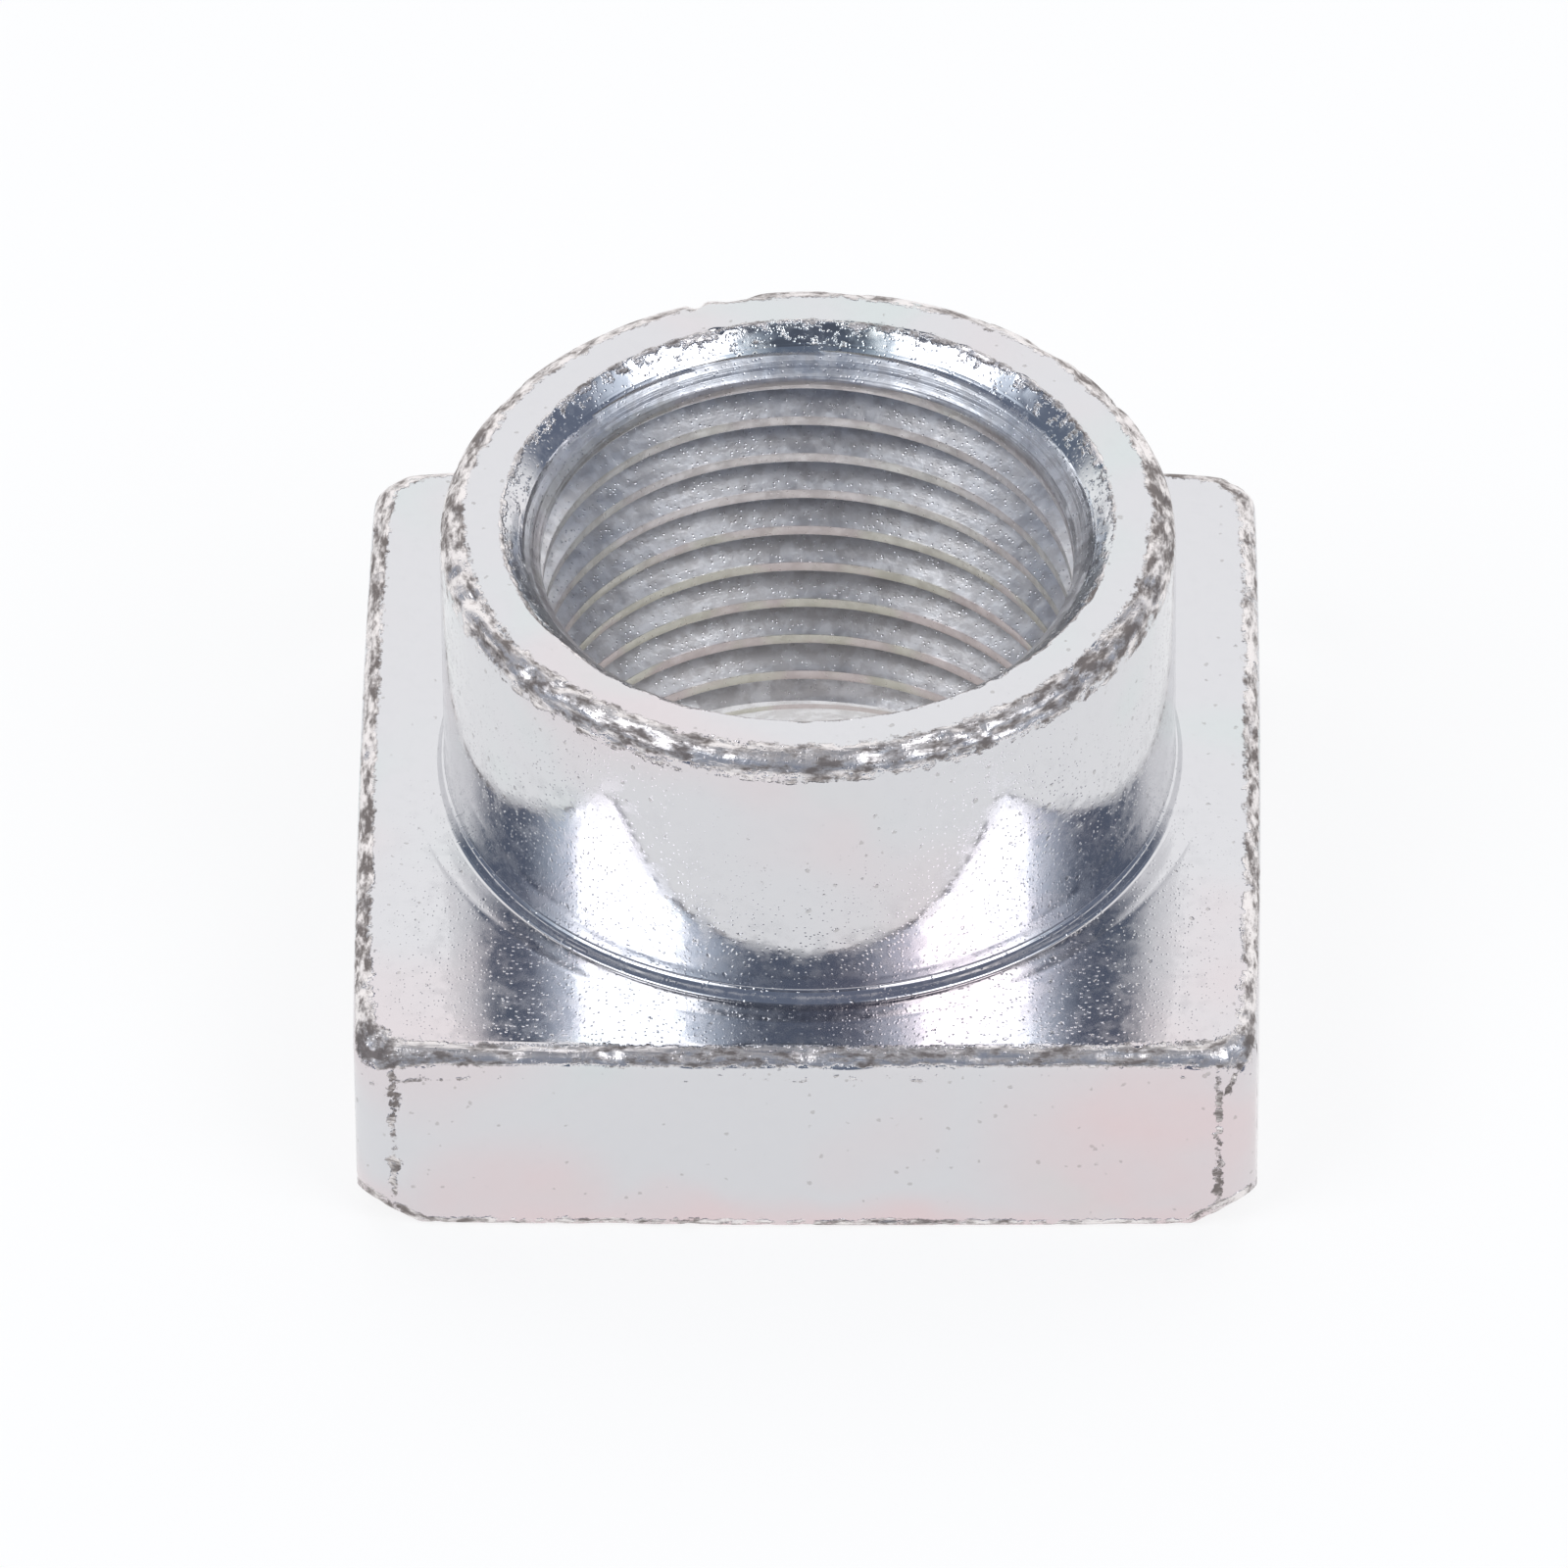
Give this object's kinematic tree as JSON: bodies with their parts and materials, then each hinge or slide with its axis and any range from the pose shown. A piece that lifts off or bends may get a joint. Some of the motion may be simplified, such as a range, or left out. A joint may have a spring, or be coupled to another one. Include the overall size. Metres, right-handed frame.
{
  "type": "threaded nut",
  "caption": "Zinc-plated steel nut with a square flange, a round collar and a fine right-hand thread through both.",
  "frame": {"origin": "centre of the bore on the flange's flat bottom face", "axes": "+Z along the bore, up through the collar; +X and +Y square to the flange's sides"},
  "size_m": [0.028, 0.028, 0.0169],
  "materials": {
    "zinc_plated_steel": "bright zinc plate, nearly mirror smooth, with worn and nicked edges"
  },
  "bodies": {
    "root": {"nut": "zinc_plated_steel"}
  },
  "joints": []
}
